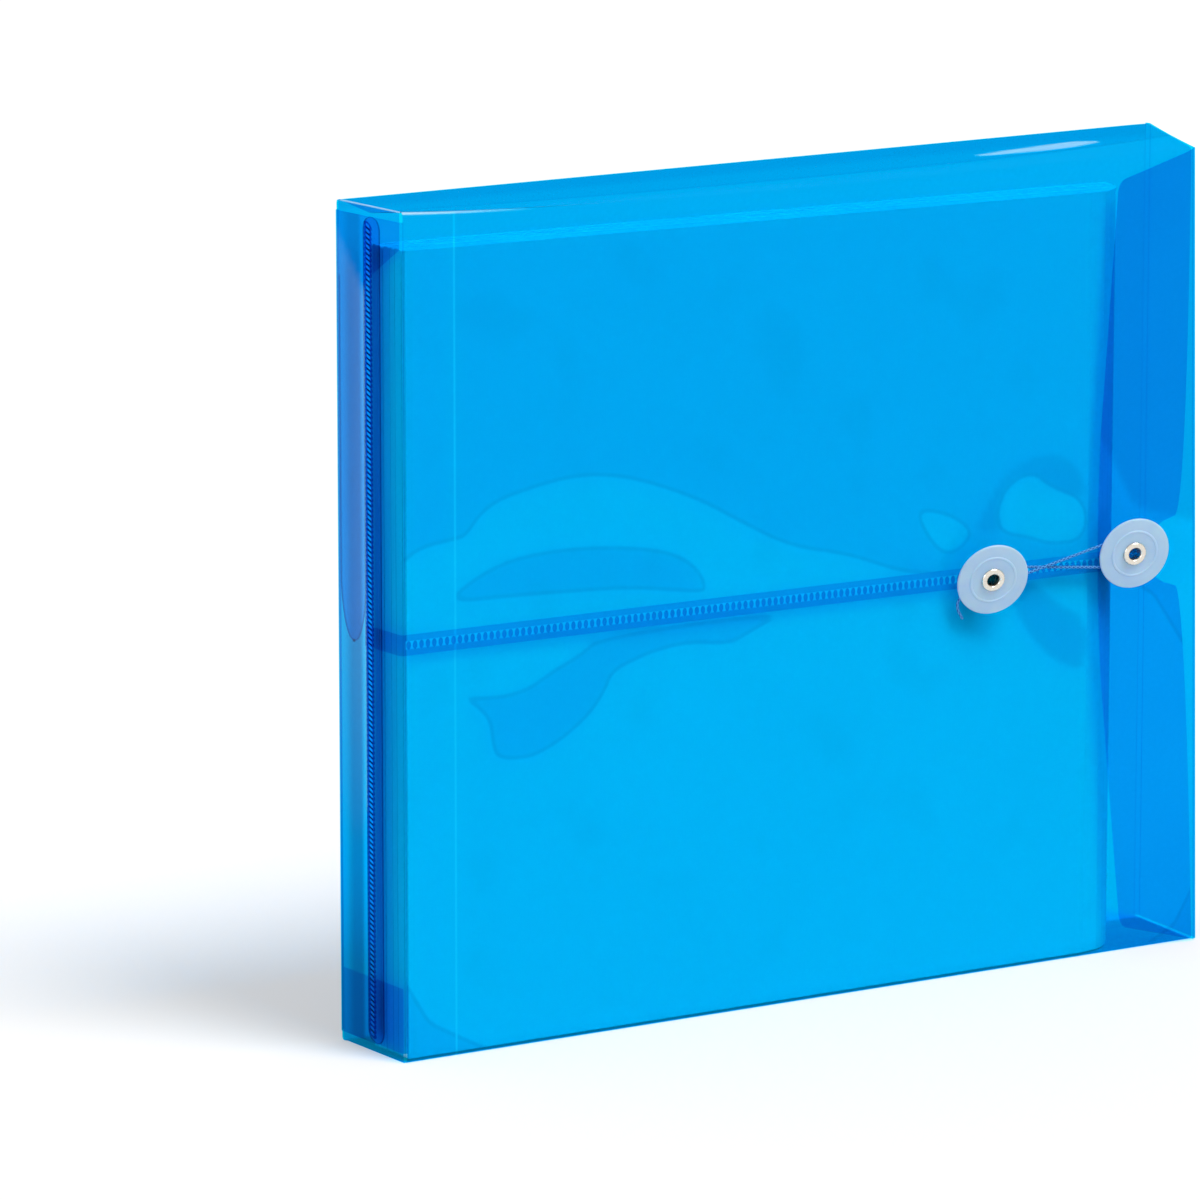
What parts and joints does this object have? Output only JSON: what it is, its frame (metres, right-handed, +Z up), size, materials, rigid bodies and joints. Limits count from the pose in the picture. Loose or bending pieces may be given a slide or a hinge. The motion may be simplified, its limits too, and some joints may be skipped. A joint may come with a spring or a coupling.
{
  "type": "file pocket",
  "caption": "Expanding film pocket that stands on its long edge, closed at one end, with a flap tied over its mouth by a string round button discs.",
  "frame": {"origin": "on the floor under the middle of the closed pocket, at the bottom gusset's lower face", "axes": "+X towards the mouth, -Y out of the front with the buttons, +Z up"},
  "size_m": [0.2927, 0.0417, 0.2476],
  "materials": {
    "film": "translucent blue polypropylene film, smooth and glossy",
    "weld": "pressed teeth of an ultrasonic weld in the same film",
    "disc": "milky translucent moulded plastic, satin",
    "washer": "thin natural plastic washer",
    "eyelet": "nickel plated, bright",
    "string": "thin braided cord, blue",
    "paper": "white uncoated sheets, edges in fine lines"
  },
  "bodies": {
    "root": {"back_panel": "film", "front_panel_upper": "film", "front_panel_lower": "film", "top_gusset": "film", "bottom_gusset": "film", "end_flap_rear": "film", "end_flap_front_upper": "film", "end_flap_front_lower": "film", "end_tuck_upper": "film", "end_tuck_lower": "film", "seam_weld_left": "weld", "seam_weld_right": "weld", "end_weld": "weld", "body_eyelet": "eyelet", "body_washer": "washer", "tie_string": "string", "string_knot": "string"},
    "documents": {"document_bundle_front": "paper", "document_bundle_middle": "paper", "document_bundle_rear": "paper"},
    "flap_spine": {"flap_spine": "film"},
    "flap_panel": {"flap_panel": "film", "flap_eyelet": "eyelet", "flap_washer": "washer"},
    "body_button": {"body_button_disc": "disc"},
    "flap_button": {"flap_button_disc": "disc"}
  },
  "joints": [
    {"name": "flap_swing", "type": "hinge", "parent": "root", "child": "flap_spine", "pos_m": [0.1497, 0.01729, 0.12383], "axis": [0, 0, 1], "range_deg": [0, 180], "deforming": ["tie_string"]},
    {"name": "flap_fold", "type": "hinge", "parent": "flap_spine", "child": "flap_panel", "pos_m": [0.1427, -0.01854, 0.12383], "axis": [0, 0, 1], "range_deg": [0, 180]},
    {"name": "body_button_spin", "type": "hinge", "parent": "root", "child": "body_button", "pos_m": [0.06157, -0.01746, 0.12293], "axis": [0, -1, 0], "continuous": true},
    {"name": "flap_button_spin", "type": "hinge", "parent": "flap_panel", "child": "flap_button", "pos_m": [0.11488, -0.01746, 0.12573], "axis": [0, -1, 0], "continuous": true},
    {"name": "documents_slide", "type": "slide", "parent": "root", "child": "documents", "axis": [1, 0, 0], "range_m": [0, 0.019]}
  ]
}
